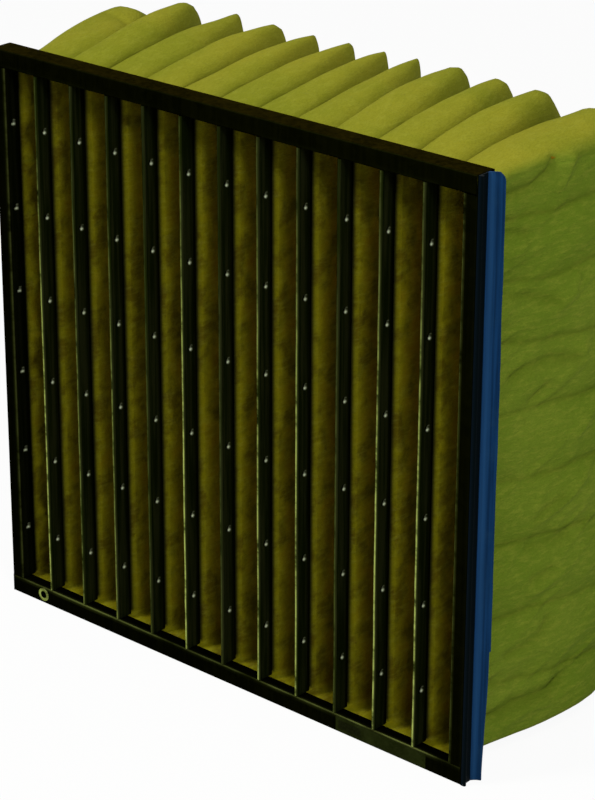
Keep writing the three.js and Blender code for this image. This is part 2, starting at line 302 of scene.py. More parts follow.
def steel_finish():
    """Coated sheet with drawn streaks: nearly black outside and olive on the walls that the air passes,
    with painted shade towards those walls' rear edges and in the crimps' hollows, a painted reflection
    that browns the top rail's upper face, and painted highlights on the bends and crimps."""
    material, wire, shader = new_finish("dark_coated_steel")
    place = place_of(wire)
    streak = cloud(wire, stretched(wire, place, (1.0, 1.0, 0.03)), 260.0, 3.0, 0.6)
    cells = wire.node("ShaderNodeTexVoronoi", inputs={"Vector": place, "Scale": 130.0}, output="Color")
    tone = wire.node("ShaderNodeSeparateColor", inputs={"Color": cells})
    soil = cloud(wire, place, 14.0, 4.0, 0.6)
    grain = (streak * 0.55 + tone * 0.15 + soil * 0.45).between(0.35, 0.8)
    outer = grain.colour(srgb(6, 8, 1), srgb(13, 14, 2))
    # Painted reflection: the top rail's upward face is browner and lighter than the rest of the sheet.
    dusty_and_top_reflected = mark(wire, "dust_and_top_reflection").colour(outer, grain.colour(srgb(34, 31, 4), srgb(50, 44, 9)))
    stripe = streak.between(0.38, 0.62).colour(srgb(38, 50, 12), srgb(62, 68, 36))
    # The inner mark gives the walls' olive tone, with painted shade towards their rear edges.
    walls = mark(wire, "inner").colour(dusty_and_top_reflected, stripe)
    # Painted highlight on the sheet's bends and on the knock-out ring, broken up by noise.
    highlight_breakup = cloud(wire, stretched(wire, place, (0.3, 0.3, 1.0)), 45.0, 5.0, 0.7)
    highlighted = (mark(wire, "painted_highlight") * highlight_breakup.between(0.3, 0.6)).colour(walls, srgb(190, 205, 110))
    # Painted shade in each crimp's hollow.
    pitted = mark(wire, "pit").colour(highlighted, srgb(2, 3, 0))
    # Painted glint on each crimp, made less metallic there so that it takes the lamps' light.
    feed(shader, "Base Color", mark(wire, "glint").colour(pitted, srgb(240, 250, 215)))
    feed(shader, "Roughness", 0.4 + streak * 0.16 + soil * 0.1)
    feed(shader, "Metallic", 1.0 - mark(wire, "glint") * 0.8)
    feed(shader, "Specular Tint", (0.03, 0.03, 0.02, 1))
    dents = bump(wire, soil, 0.002, 0.12)
    feed(shader, "Normal", bump(wire, streak, 0.0002, 0.2, dents))
    return material


def seal_finish():
    """Blue extruded plastic with streaks along its length, random paler patches of dust, a painted
    highlight along the lip's root, and painted shade that makes the front bead and groove near black.
    """
    material, wire, shader = new_finish("blue_seal_plastic")
    place = place_of(wire)
    streak = cloud(wire, stretched(wire, place, (1.0, 1.0, 0.02)), 420.0, 3.0, 0.6)
    dust_and_top_reflection = cloud(wire, place, 30.0, 5.0, 0.65)
    blue = streak.between(0.3, 0.7).colour(srgb(10, 38, 70), srgb(18, 55, 96))
    dusty_and_top_reflected = (dust_and_top_reflection.between(0.5, 0.75) * 0.3).colour(blue, srgb(34, 66, 92))
    # Painted highlight along the lip's root.
    paler = mark(wire, "pale").colour(dusty_and_top_reflected, srgb(34, 74, 118))
    # Painted shade: the front bead and the groove behind it are near black.
    feed(shader, "Base Color", mark(wire, "groove").colour(paler, srgb(1, 7, 10)))
    feed(shader, "Roughness", 0.42 + dust_and_top_reflection * 0.2)
    feed(shader, "Specular IOR Level", 0.02)
    feed(shader, "Normal", bump(wire, streak, 0.0003, 0.25))
    return material


def label_finish():
    """Plain grey paper with a darker blank panel and no print on it."""
    material, wire, shader = new_finish("plain_label_paper")
    place = place_of(wire)
    grain = cloud(wire, place, 600.0, 3.0, 0.6)
    stain = cloud(wire, place, 45.0, 4.0, 0.6)
    paper = stain.between(0.35, 0.7).colour(srgb(22, 27, 6), srgb(33, 39, 13))
    panel = mark(wire, "panel").colour(paper, srgb(16, 18, 6))
    feed(shader, "Base Color", (grain.between(0.4, 0.7) * 0.15).colour(panel, srgb(56, 60, 36)))
    feed(shader, "Roughness", 0.62 + stain * 0.2)
    feed(shader, "Specular IOR Level", 0.0)
    feed(shader, "Normal", bump(wire, grain, 0.0001, 0.3))
    return material


# Meshes

def smooth_noise(first, second, size, seed):
    """Blobs from -1 to 1 over two coordinates, about size wide."""
    table = np.random.default_rng(seed).uniform(-1, 1, (64, 64))
    u, v = np.asarray(first) / size, np.asarray(second) / size
    i, j = np.floor(u).astype(int), np.floor(v).astype(int)
    p, q = u - i, v - j
    p, q = p * p * (3 - 2 * p), q * q * (3 - 2 * q)

    def at(a, b):
        return table[(i + a) % 64, (j + b) % 64]

    return (at(0, 0) * (1 - p) + at(1, 0) * p) * (1 - q) + (at(0, 1) * (1 - p) + at(1, 1) * p) * q


def make_piece(name, points, faces, material, marks=None, sharp_degrees=38.0):
    """A closed mesh piece in the row frame, smooth apart from its sharp edges."""
    mesh = bpy.data.meshes.new(name)
    mesh.from_pydata([tuple(p) for p in np.asarray(points) * MM], [], faces)
    for mark_name, values in (marks or {}).items():
        layer = mesh.attributes.new(mark_name, "FLOAT", "POINT")
        layer.data.foreach_set("value", np.asarray(values, np.float32))
    work = bmesh.new()
    work.from_mesh(mesh)
    bmesh.ops.recalc_face_normals(work, faces=work.faces)
    for face in work.faces:
        face.smooth = True
    limit = math.radians(sharp_degrees)
    for edge in work.edges:
        if edge.is_manifold and edge.calc_face_angle(0.0) > limit:
            edge.smooth = False
    work.to_mesh(mesh)
    work.free()
    mesh.materials.append(material)
    piece = bpy.data.objects.new(name, mesh)
    bpy.context.scene.collection.objects.link(piece)
    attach(piece, "root")
    return piece


def bent_curve(path, offset, radius, steps):
    """One side of a bent strip in its section: the path moved sideways, with an arc at each bend."""
    path = [np.array(p, float) for p in path]
    points = []
    for i, corner in enumerate(path):
        if i in (0, len(path) - 1):
            along = path[1] - corner if i == 0 else corner - path[i - 1]
            along = along / np.linalg.norm(along)
            points.append(corner + offset * np.array([-along[1], along[0]]))
            continue
        before = corner - path[i - 1]
        before = before / np.linalg.norm(before)
        after = path[i + 1] - corner
        after = after / np.linalg.norm(after)
        turn = math.copysign(1, before[0] * after[1] - before[1] * after[0])
        centre = corner - before * radius + after * radius
        reach = radius - turn * offset
        start = math.atan2(before[1], before[0]) - turn * math.pi / 2
        for step in range(steps + 1):
            angle = start + turn * math.pi / 2 * step / steps
            points.append(centre + reach * np.array([math.cos(angle), math.sin(angle)]))
    return np.array(points)


def refined(outer, inner, longest):
    """Both sides of a section with their long straight runs cut to pieces of equal length."""
    shares = []
    for i in range(len(outer) - 1):
        count = max(1, math.ceil(np.linalg.norm(outer[i + 1] - outer[i]) / longest))
        shares += [(i, n / count) for n in range(count)]
    shares.append((len(outer) - 2, 1.0))
    return [np.array([side[i] + (side[i + 1] - side[i]) * share for i, share in shares])
            for side in (outer, inner)]


def strip_faces(stations, across):
    """Faces of a strip: outer skin, inner skin, both long edges and both ends."""
    faces = []

    def at(skin, station, i):
        return (skin * stations + station) * across + i

    for skin in (0, 1):
        for k in range(stations - 1):
            for i in range(across - 1):
                faces.append((at(skin, k, i), at(skin, k, i + 1),
                              at(skin, k + 1, i + 1), at(skin, k + 1, i)))
    for i in (0, across - 1):
        for k in range(stations - 1):
            faces.append((at(0, k, i), at(0, k + 1, i), at(1, k + 1, i), at(1, k, i)))
    for k in (0, stations - 1):
        for i in range(across - 1):
            faces.append((at(0, k, i), at(1, k, i), at(1, k, i + 1), at(0, k, i + 1)))
    return faces


def ring_faces(loops, count, round_again=False):
    """Faces between neighbouring loops of count points each, and from the last loop to the first
    where they go round again."""
    faces = []
    for row in range(loops if round_again else loops - 1):
        after = (row + 1) % loops
        for i in range(count):
            j = (i + 1) % count
            faces.append((row * count + i, after * count + i, after * count + j, row * count + j))
    return faces


def strip_points(sides, stations, shape):
    """Points of a strip: each side of its section at each station, placed by shape(a, b, station)."""
    return np.array([shape(a, b, station) for side in sides for station in stations for a, b in side])


def spaced(low, high, coarse, centres=(), reach=0.0, fine=1.0):
    """Stations from low to high, close together around the centres and wide apart elsewhere."""
    marks = set(np.linspace(low, high, max(2, round((high - low) / coarse) + 1)).round(3))
    for centre in centres:
        marks = {m for m in marks if abs(m - centre) > reach or m in (low, high)}
        marks |= set(np.linspace(centre - reach, centre + reach, round(2 * reach / fine) + 1).round(3))
    return np.array(sorted(marks))


def crimp_depth(y, z):
    """How deep a punched dent presses the sheet at a place on a channel's wall."""
    depth = np.zeros(np.shape(z))
    for centre in CRIMP_HEIGHTS:
        far = np.hypot((z - centre) / CRIMP_HALF_HEIGHT, (y - CRIMP_Y) / CRIMP_HALF_WIDTH)
        depth = np.maximum(depth, np.clip(1 - far, 0, 1) ** 0.6)
    return CRIMP_PRESS * depth


def crimp_spot(y, z, back, up, size):
    """How near a place is to a spot beside each crimp's middle, from 0 to 1."""
    near = np.zeros(np.shape(z))
    for centre in CRIMP_HEIGHTS:
        far = np.hypot(z - centre - up, y - CRIMP_Y - back) / size
        near = np.maximum(near, np.exp(-far ** 4))
    return near


def crimp_glint(y, z):
    """Painted glint of each crimp: a bright spot with a fainter tail that runs up and back."""
    tail = np.maximum(crimp_spot(y, z, 0.9, 0.8, 0.9), crimp_spot(y, z, 1.3, 2.6, 0.8))
    return np.maximum(crimp_spot(y, z, 0.5, -1.4, 1.6), 0.4 * tail)


def crimp_pit(y, z):
    """Painted shade in the hollow in front of each crimp's middle."""
    return crimp_spot(y, z, -1.4, -0.6, 2.2)


def wall_fade(y):
    """How pale a channel's wall is, with painted shade: it darkens towards its rear edge, where the hem
    lies in shade.
    """
    return np.clip((CHANNEL_BACK - 0.5 - y) / 5.5, 0.1, 1)


def crimped_stations(low, high):
    """Heights along a crimped strip, close together at its crimps."""
    return spaced(low, high, 7.0, CRIMP_HEIGHTS, 5.6, 0.8)


def divider(number, material):
    """A channel folded round at the front, with crimps punched through both of its walls."""
    centre = (number - POCKETS / 2) * PITCH
    turns = [math.pi * n / 10 for n in range(11)]

    def side(half):
        middle = FRONT + CHANNEL_HALF
        walls = list(np.linspace(CHANNEL_BACK, middle, 13)[:-1])
        bend = [(half * math.cos(t), middle - half * math.sin(t)) for t in turns]
        return [(half, y) for y in walls] + bend + [(-half, y) for y in walls[::-1]]

    stations = crimped_stations(RAIL_FLANGE + FIT, 2 * MIDDLE - RAIL_FLANGE - FIT)
    points, marks = [], {"painted_highlight": [], "inner": [], "pit": [], "glint": []}
    for half in (CHANNEL_HALF, CHANNEL_HALF - SHEET):
        x, y = np.array(side(half)).T
        for z in stations:
            sway = 0.16 * smooth_noise([z], [number * 7.0], 17.0, 3)[0]
            sway += 0.3 * smooth_noise([z], [number * 9.0], 90.0, 4)[0]
            nose = np.clip((FRONT + 7 - y) / 7, 0, 1)
            press = crimp_depth(y, np.full_like(y, z)) * (half == CHANNEL_HALF)
            points.append(np.stack([
                centre + x - np.sign(x) * press + sway * nose,
                y + 0.12 * smooth_noise([z], [number * 3.0], 23.0, 6)[0] * nose,
                np.full_like(x, z)], 1))
            height = np.full_like(y, z)
            lower = 0.12 + 0.88 * np.clip((520 - z) / 260, 0, 1)
            # Painted highlight on the left of each channel's rounded nose, brighter towards the bottom.
            lit = np.clip((x + 2.0) / 0.4, 0, 1) * np.clip((0.9 - x) / 0.7, 0, 1)
            lit = lit * (y < FRONT + CHANNEL_HALF)
            marks["painted_highlight"].append(lit * CHANNEL_HIGHLIGHT[number - 1] * lower)
            # Olive wall tone with painted shade towards the rear edge, the nose kept nearer the dark
            # outer tone; crimps get painted shade and glints.
            marks["inner"].append(wall_fade(y) * np.clip((y - FRONT - CHANNEL_HALF / 2) / 2, 0.35, 1))
            marks["pit"].append(crimp_pit(y, height))
            marks["glint"].append(crimp_glint(y, height))
    piece = make_piece(f"channel_{number}", np.concatenate(points), strip_faces(len(stations), len(x)),
                       material,
                       {name: np.concatenate(values) for name, values in marks.items()}, 50.0)
    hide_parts(f"divider_channel_{number}")


def near_bend(across, back):
    """How near a place is to a bend, from 0 to 1."""
    return np.clip(1 - np.hypot(across, back) / 2.2, 0, 1)


def rail(top, material):
    """A folded rail: outer wall, front flange with its folded lip, and rear flange."""
    path = [(HEM_FRONT - FIT, RAIL_FLANGE), (FRONT, RAIL_FLANGE), (FRONT, 0), (BACK, 0),
            (BACK, REAR_FLANGE)]
    outer, inner = refined(bent_curve(path, 0, BEND, 7), bent_curve(path, SHEET, BEND, 7), 3.0)
    half = HEADER_HALF - SHEET - FIT
    stations = np.linspace(-half, half, 149)

    def place(a, b, x):
        wave = 0.1 * abs(smooth_noise([x], [a * 2 + b], 60.0, 11)[0])
        bow = wave * min(1, (half - abs(x)) / 20)
        z = b + (bow if FRONT + 2 < a < BACK - 2 else 0)
        y = a + (bow if 2 < b < RAIL_FLANGE - 2 and a < 0 else 0)
        return (-x, y, 2 * MIDDLE - z) if top else (x, y, z)

    points = strip_points((outer, inner), stations, place)
    section = np.concatenate([np.tile(side, (len(stations), 1)) for side in (outer, inner)])
    back, up = section.T
    uneven = 0.5 + 0.5 * smooth_noise(points[:, 0], up * 8, 35.0, 15)
    # Painted highlight along the bend of the front flange's lip, faint on the top rail.
    painted_highlight = (0.03 if top else 0.22) * uneven * near_bend(back - FRONT, up - RAIL_FLANGE)
    # Painted reflection on the top rail's upward face.
    dust_and_top_reflection = (up < 0.4) * np.clip((back - FRONT - 0.6) / 1.2, 0, 1) * float(top)
    name = "rail_top" if top else "rail_bottom"
    piece = make_piece(name, points, strip_faces(len(stations), len(outer)), material,
                       {"painted_highlight": painted_highlight, "dust_and_top_reflection": dust_and_top_reflection})
    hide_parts("header_" + name)
    return piece


def post(side, material):
    """A side post: wall, front flange with a return that carries crimps, and rear flange."""
    lip = HEADER_HALF - POST_FLANGE
    path = [(lip, FRONT + POST_RETURN), (lip, FRONT), (HEADER_HALF, FRONT), (HEADER_HALF, BACK),
            (HEADER_HALF - REAR_FLANGE, BACK)]
    outer, inner = refined(bent_curve(path, 0, BEND, 7), bent_curve(path, SHEET, BEND, 7), 2.6)
    start = RAIL_FLANGE + FIT
    stations = crimped_stations(start, 2 * MIDDLE - start)

    def place(x, y, z):
        held = min(1, (z - start) / 20, (2 * MIDDLE - start - z) / 20)
        wave = 0.1 * smooth_noise([z], [x + y * 2], 60.0, 12)[0] * held
        if x < lip + 1:
            x += float(crimp_depth(y, z))
        elif y < FRONT + 1:
            y += wave
        return side * x, y, z

    points = strip_points((outer, inner), stations, place)
    section = np.concatenate([np.tile(s, (len(stations), 1)) for s in (outer, inner)])
    across, back = section.T
    height = np.tile(np.repeat(stations, len(outer)), 2)
    returned = (across < lip + 1.0).astype(float)
    shown = 1.0 if side > 0 else 0.3
    # Painted highlight on the flange's bend; the return wall's olive tone with painted shade towards
    # its rear edge; the crimps' painted shade and glints.
    marks = {"painted_highlight": 0.3 * shown * near_bend(across - lip, back - FRONT),
             "inner": shown * returned * np.clip((back - FRONT - 1.5) / 2, 0, 1) * wall_fade(back),
             "pit": returned * crimp_pit(back, height),
             "glint": returned * crimp_glint(back, height)}
    name = "post_right" if side > 0 else "post_left"
    faces = strip_faces(len(stations), len(outer))
    piece = make_piece(name, points, faces, material, marks)
    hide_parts("header_" + name)
    wall_front, wall_back = FRONT + 0.5, BACK - BEND
    ends = [(0, start), (2 * MIDDLE - start, 2 * MIDDLE)]
    for place_name, (low, high) in zip(("foot", "head"), ends):
        corners = [(x, y, z) for z in (low, high) for x, y in (
            (HEADER_HALF - SHEET, wall_front), (HEADER_HALF, wall_front),
            (HEADER_HALF, wall_back), (HEADER_HALF - SHEET, wall_back))]
        sides = [(0, 1, 2, 3), (4, 7, 6, 5), (0, 4, 5, 1), (1, 5, 6, 2), (2, 6, 7, 3), (3, 7, 4, 0)]
        tab = make_piece(f"{name}_{place_name}_tab", [(side * x, y, z) for x, y, z in corners], sides,
                         material)
        round_edges(tab, 0.25)


def round_edges(piece, width):
    bevel = piece.modifiers.new("rounded_edges", "BEVEL")
    bevel.width = width * MM
    bevel.segments = 2


# Media pockets

def lean_at(k, s):
    """How far pocket k leans to the right at a share s of its length behind the header."""
    return REAR_LEAN[k] * s ** LEAN_POWER


def centre_at(k, s):
    return (k - (POCKETS - 1) / 2) * PITCH + lean_at(k, s)


def border_at(b, s):
    """The line between pocket b - 1 and pocket b."""
    return (b - POCKETS / 2) * PITCH + (lean_at(b - 1, s) + lean_at(b, s)) / 2


def tapered(s, full, start=TAPER_START):
    """Half of a pocket's width: full up to the start of its taper, and down to the seam's behind it."""
    u = np.clip((s - start) / (1 - start), 0, 1)
    return REAR_SEAM / 2 + (full - REAR_SEAM / 2) * (1 - u * u) ** TAPER_POWER


def end_half(s):
    """From the middle of a pocket at either end to its outer wall, which swells past the header."""
    mouth = HEM_END + MEDIA - PITCH * (POCKETS - 1) / 2
    return mouth + SIDE_SWELL * np.sin(SIDE_SWELL_END * np.pi * s) ** SIDE_SWELL_POWER


def skin(k, s):
    """Edges of a pocket's outer skin at a share s of its length behind the header."""
    centre = centre_at(k, s)
    left = end_half(s) if k == 0 else centre - border_at(k, s) - POCKET_GAP / 2
    right = end_half(s) if k == POCKETS - 1 else border_at(k + 1, s) - centre - POCKET_GAP / 2
    swell = max(0.0, math.sin(math.pi * s ** SWELL_SKEW))
    rise = math.sin(math.pi / 2 * s)
    if k == POCKETS - 1:
        right += FLANK_SWELL * rise
    corner, power = CORNERS[k]
    drop = CORNER_DROP * max(0.0, 1 - (1 - s) * POCKET_LENGTH / corner) ** power
    top = MIDDLE + HEM_HALF_HEIGHT + MEDIA + (TOP_SWELL + TOP_LIFT[k]) * rise
    bottom = MIDDLE - HEM_HALF_HEIGHT - MEDIA - BOTTOM_SWELL * swell
    return {
        "left": centre - tapered(s, left, FLANK_TAPER_START if k == 0 else TAPER_START),
        "right": centre + tapered(s, right, FLANK_TAPER_START if k == POCKETS - 1 else TAPER_START),
        "top": top - REAR_SAG * s ** SAG_POWER - drop,
        "bottom": bottom + BOTTOM_CORNER_RISE * CORNER_DROP * s ** BOTTOM_CORNER_POWER,
        "crown": CROWN_FRONT + (CROWN_REAR - CROWN_FRONT) * s ** CROWN_POWER,
        "under": CROWN_FRONT + (CROWN_UNDER - CROWN_FRONT) * s,
    }


def hem_edges(k, thickness):
    """Edges of the flat hem that the channels and lips grip."""
    end = HEM_END + thickness
    return {
        "left": -end if k == 0 else (k - POCKETS / 2) * PITCH + FIT / 2 + HEM - thickness,
        "right": end if k == POCKETS - 1 else (k + 1 - POCKETS / 2) * PITCH - FIT / 2 - HEM + thickness,
        "top": MIDDLE + HEM_HALF_HEIGHT + thickness,
        "bottom": MIDDLE - HEM_HALF_HEIGHT - thickness,
        "crown": 0.0,
        "under": 0.0,
    }


def furrow(y, z, depth, width, line):
    """A fold pressed along a line of points on the side panel: how far it stands out, and its painted
    shade.
    """
    near = np.zeros(np.shape(z))
    for (y0, z0), (y1, z1) in zip(line, line[1:]):
        span = (y1 - y0) ** 2 + (z1 - z0) ** 2
        along = np.clip(((y - y0) * (y1 - y0) + (z - z0) * (z1 - z0)) / span, 0, 1)
        far = np.hypot(y - y0 - along * (y1 - y0), z - z0 - along * (z1 - z0))
        near = np.maximum(near, np.exp(-(far / width) ** 1.3))
    return -depth * near, near * np.clip(depth / 5, 0, 1)


def panel_relief(b, s, z):
    """How far a side panel stands out at a place, and how much painted shade its folds take there:
    sewn rows, pressed folds, and short wrinkles that rise towards the rear."""
    y = BACK + s * POCKET_LENGTH
    wander = z + 3.0 * smooth_noise(y, z, 48.0, 20 + b)
    rows = np.array([first + (last - first) * (y - ROWS_START) / ROWS_SPAN
                     for first, last in PANEL_ROWS]) - wander
    nearest = np.abs(rows).argmin(0)
    below = np.take_along_axis(rows, nearest[None], 0)[0]
    tight = 0.75 + 0.25 * smooth_noise(y, 65 * nearest, 55.0, 70 + b)
    narrow = np.where(below > 0, 4.5, 7.5)
    crease = np.exp(-np.abs(below) / narrow) * tight
    relief = -ROW_CREASE * crease - ROW_SINK * np.exp(-(below / ROW_SINK_WIDTH) ** 2)
    shade = 0.8 * np.exp(-np.abs(below + 1.5) / 2.5) * tight
    if b:
        for depth, width, line in PANEL_FURROWS:
            fold, dark = furrow(y, z, depth, width, line)
            relief, shade = relief + FURROW * fold, np.maximum(shade, dark * 0.5)
    along, cross = 0.87 * y + 0.5 * z, 0.87 * z - 0.5 * y
    ridge = 1 - 2 * np.abs(smooth_noise(along * 0.3, cross, 17.0, 60 + b))
    near_row = np.exp(-np.abs(below) / 22)
    wrinkle = WRINKLE * np.clip(ridge - 0.35, 0, 1) * (0.25 + near_row + 0.6 * np.exp(-s / 0.12))
    nap = PANEL_NAP * smooth_noise(y * 0.6, z, 7.0, 95 + b)
    rear = np.clip((1 - s) / 0.1, 0, 1) ** 0.6
    return (relief * rear + wrinkle + nap) * np.clip(s / 0.03, 0, 1), shade * rear


def side_relief(b, s, z):
    """How far the wall at border b stands out to the right at a place, and the painted shade of its
    folds. The two pockets at a border share it."""
    if b in (0, POCKETS):
        relief, shade = panel_relief(b, s, z)
        return relief * (1 if b else -1), shade
    y = s * POCKET_LENGTH
    held = np.clip(s / 0.16, 0, 1) ** 0.7 * np.clip((1 - s) / 0.12, 0, 1) ** 0.6
    close = np.clip(s / 0.02, 0, 1) * np.clip((1 - s) / 0.05, 0, 1)
    lumps = 2.0 * smooth_noise(y, z, 80.0, 40 + b)
    crinkle = 1 - 2 * np.abs(smooth_noise(y * 0.3, z + 4 * smooth_noise(y, z, 30.0, 9), 16.0, 90 + b))
    small = smooth_noise(y * 0.6, z * 1.2, 8.0, 130 + b)
    fine = 1.9 * np.clip(crinkle - 0.2, 0, 1) + 0.6 * small
    return lumps * held + fine * close, 0.5 * np.clip(-small - 0.3, 0, 1)


def half_section(side_steps, crown_steps):
    """Shares of a half section from the top middle to the bottom middle: part, across and down."""
    angles = np.linspace(0, np.pi / 2, crown_steps + 1)
    across = np.sin(angles) ** 0.75
    dip = 1 - np.cos(angles) ** 1.25
    rows = [(0, across[i], dip[i]) for i in range(crown_steps + 1)]
    rows += [(1, 1.0, n / side_steps) for n in range(1, side_steps)]
    rows += [(2, across[i], dip[i]) for i in range(crown_steps, -1, -1)]
    return np.array(rows)


def wall_loop(k, edges, s, half):
    """A closed section of a pocket's skin, down its right side and up its left one, and its painted
    shade.
    """
    part, across, down = half.T
    high, low = edges["top"] - edges["crown"], edges["bottom"] + edges["under"]
    z = np.where(part == 1, high + (low - high) * down, edges["bottom"] + edges["under"] * down)
    z = np.where(part == 0, edges["top"] - edges["crown"] * down, z)
    centre = (edges["left"] + edges["right"]) / 2
    reach = (edges["right"] - edges["left"]) / 2
    y = np.full_like(z, BACK + POCKET_LENGTH * s)
    sides, shades = [], []
    for sign, border in ((1, k + 1), (-1, k)):
        relief, shade = side_relief(border, np.full_like(z, s), z)
        x = centre + sign * reach * across + relief * across ** 5
        lift = 1.3 * smooth_noise(0.35 * y, x, 13.0, 7) + 1.8 * smooth_noise(y, x * 2, 70.0, 8)
        lift = lift * np.where(part == 1, 0, 1 - across ** 4) * min(1, s * 8) * (1 - s ** 8)
        # Painted shade in the valleys between pocket tops, stronger on the right slopes, and in the
        # first pocket's cross fold.
        valley_shade = np.where(part == 0, 0.35 * across ** 4 if sign > 0 else 0.2 * across ** 8, 0)
        if k == 0:
            dent = 0.6 * crossfold(s) * np.where(part == 0, 1, 0)
            lift = lift - TOP_FOLD_DEPTH * dent * np.clip(0.4 + 0.6 * sign * across, 0, 1)
            valley_shade = np.maximum(valley_shade, dent * 0.5)
        sides.append(np.stack([x, y, z + lift * np.where(part == 2, 0.5, 1)], 1))
        shades.append(np.maximum(shade * across ** 3, valley_shade * min(1, s * 8)))
    return closed_loop(*sides), closed_loop(*shades)


def closed_loop(right, left):
    """One loop from the values of the right half, downwards, and those of the left half, upwards."""
    return np.concatenate([right, left[-2:0:-1]])


def crossfold(s):
    """A fold across a pocket's top: it sinks slowly up to its place and rises sharply after it."""
    return math.exp(-abs(s - TOP_FOLD) / (0.1 if s < TOP_FOLD else 0.012))


def pocket_piece(k, material):
    """One media pocket: a hem, a puffed outer skin to the rear seam, and the hollow inside it."""
    panel = k in (0, POCKETS - 1)
    half = half_section(PANEL_WALL_STEPS if panel else WALL_STEPS, CROWN_STEPS)
    run = np.linspace(0.02, 0.94, PANEL_STATIONS if panel else STATIONS)
    outer = np.concatenate([[0, 0.006], run, [0.957, 0.97, 0.985, 1]])
    inner = np.concatenate([[0, 0.006], np.linspace(0.018, 0.2, 16), np.linspace(0.25, 0.93, 9)])
    loops, marks = [], {"inside": [], "mouth": [], "fold": [], "flank": []}
    upright = closed_loop(half[:, 0] == 1, half[:, 0] == 1)
    # The flank mark: painted shade on the outer side walls of the two end pockets.
    outward = closed_loop(half[:, 1] ** 6 * (k == POCKETS - 1), half[:, 1] ** 6 * (k == 0))

    def add(loop, shade=0, is_inside=0, is_mouth=0):
        loops.append(loop)
        values = {"inside": is_inside, "mouth": is_mouth * upright, "fold": shade,
                  "flank": outward * (1 - is_inside)}
        for name, value in values.items():
            marks[name].append(np.zeros(len(loop)) + value)

    def hem_loop(thickness, y):
        loop = wall_loop(k, hem_edges(k, thickness), 0.0, half)[0]
        loop[:, 1] = y
        return loop

    def hollow(s):
        edges = skin(k, s)
        edges = {**edges, "left": edges["left"] + MEDIA, "right": edges["right"] - MEDIA,
                 "top": edges["top"] - MEDIA, "bottom": edges["bottom"] + MEDIA,
                 "crown": max(2.0, edges["crown"] - 6), "under": max(1.5, edges["under"] - 6.5)}
        return wall_loop(k, edges, s, half)

    # The hem, gripped by the channels and lips, is painted near black as shade.
    add(hem_loop(HEM, HEM_FRONT), is_mouth=1)
    add(hem_loop(HEM, CHANNEL_BACK + FIT), is_mouth=1)
    for s in outer:
        add(*wall_loop(k, skin(k, s), s, half))
    outer_rows = len(loops)
    for s in inner[::-1]:
        add(*hollow(s), is_inside=1)
    gripped = hem_loop(0.0, CHANNEL_BACK + FIT)
    # Painted shade at the mouth: darkest where the channel grips the hem, fading towards the pocket's
    # inner wall.
    for share, dark in ((0.6, 0.35), (0.25, 0.9)):
        add(gripped + (hollow(0.0)[0] - gripped) * share, is_inside=1, is_mouth=dark)
    add(gripped, is_inside=1, is_mouth=1)
    add(hem_loop(0.0, HEM_FRONT), is_inside=1, is_mouth=1)

    count = len(loops[0])
    faces = ring_faces(len(loops), count, True)
    del faces[(outer_rows - 1) * count:outer_rows * count]
    for row in (outer_rows - 1, outer_rows):
        base = row * count
        for i in range(count // 2):
            right, below = base + i, base + i + 1
            left, left_below = base + (count - i) % count, base + count - i - 1
            faces.append(tuple(dict.fromkeys((right, below, left_below, left))))
    piece = make_piece(f"pocket_{k + 1}", np.concatenate(loops), faces, material,
                       {name: np.concatenate(values) for name, values in marks.items()}, 75.0)
    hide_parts(f"media_pocket_{k + 1}")


# Seal, label and knock-out

def side_seal(material):
    """Blue profile on the right post: base, front bead, groove and a flared, folded lip."""
    base = HEADER_HALF + FIT
    face = base + 1.1
    front = FRONT + 0.5
    root = FRONT + 13.3
    tip_out, tip_back = 11.5, 9.2
    bead = [(base + 2.1 + 2.1 * math.cos(a), front + 1.75 + 1.75 * math.sin(a))
            for a in np.linspace(-math.pi / 2, math.pi / 2, 9)]
    lip_out = [(face, root), (face + 2.5, root + 2.8), (face + 5.75, root + 5.5),
               (face + 8.6, root + 7.4), (face + tip_out, root + tip_back)]
    lip_back = [(face + 10.85, root + 10.5), (face + 5.1, root + 6.8), (base, root + 2.6)]
    outline = [(base, front)] + bead + [(face, front + 3.5), (face, front + 4.4)]
    outline += [(face, y) for y in np.linspace(front + 5.5, root - 1, 3)] + lip_out + lip_back
    outline += [(base, y) for y in (root - 3, front + 5)]
    outline = np.array(outline)
    rows = spaced(0, 2 * MIDDLE, 8.0, (135.0, 583.0), 6.0, 1.5)
    points, groove, pale = [], [], []
    on_lip = outline[:, 1] > root - 0.5
    for z in rows:
        flare = np.clip((outline[:, 0] - face - 1) / 10.5, 0, 1) * on_lip
        narrow = 0.26 * np.clip((100 - z) / 90, 0, 1) + 0.1 * (z < 135)
        narrow += 0.35 * np.clip((z - 584) / 8, 0, 1) ** 2
        wave = 0.35 * smooth_noise([z], [1.0], 45.0, 31)[0]
        wave += 0.2 * smooth_noise([z], [2.0], 14.0, 32)[0]
        x = outline[:, 0] - flare * (tip_out * narrow) + flare * wave
        y = outline[:, 1] - flare * (tip_back * narrow) + 0.15 * wave * flare
        points.append(np.stack([x, y, np.full_like(x, z)], 1))
        # Painted shade over the bead and groove, lessened along a thin painted highlight line at the
        # bead's front edge.
        hidden = (outline[:, 0] < face + 3.2) & (outline[:, 1] < root - 0.5)
        line = 0.6 * np.exp(-((outline[:, 0] - base - 1.0) / 0.6) ** 2) * (outline[:, 1] < front + 0.8)
        groove.append(np.where(hidden, 1.0 - line, 0.0))
        # Painted highlight along the lip's root.
        pale.append(0.6 * np.exp(-((outline[:, 0] - face - 2.5) / 2.2) ** 2) * on_lip)
    count = len(outline)
    faces = ring_faces(len(rows), count)
    faces += [tuple(range(count)), tuple((len(rows) - 1) * count + i for i in range(count))]
    piece = make_piece("seal_profile", np.concatenate(points), faces, material,
                       {"groove": np.concatenate(groove), "pale": np.concatenate(pale)}, 30.0)
    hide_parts("side_seal")


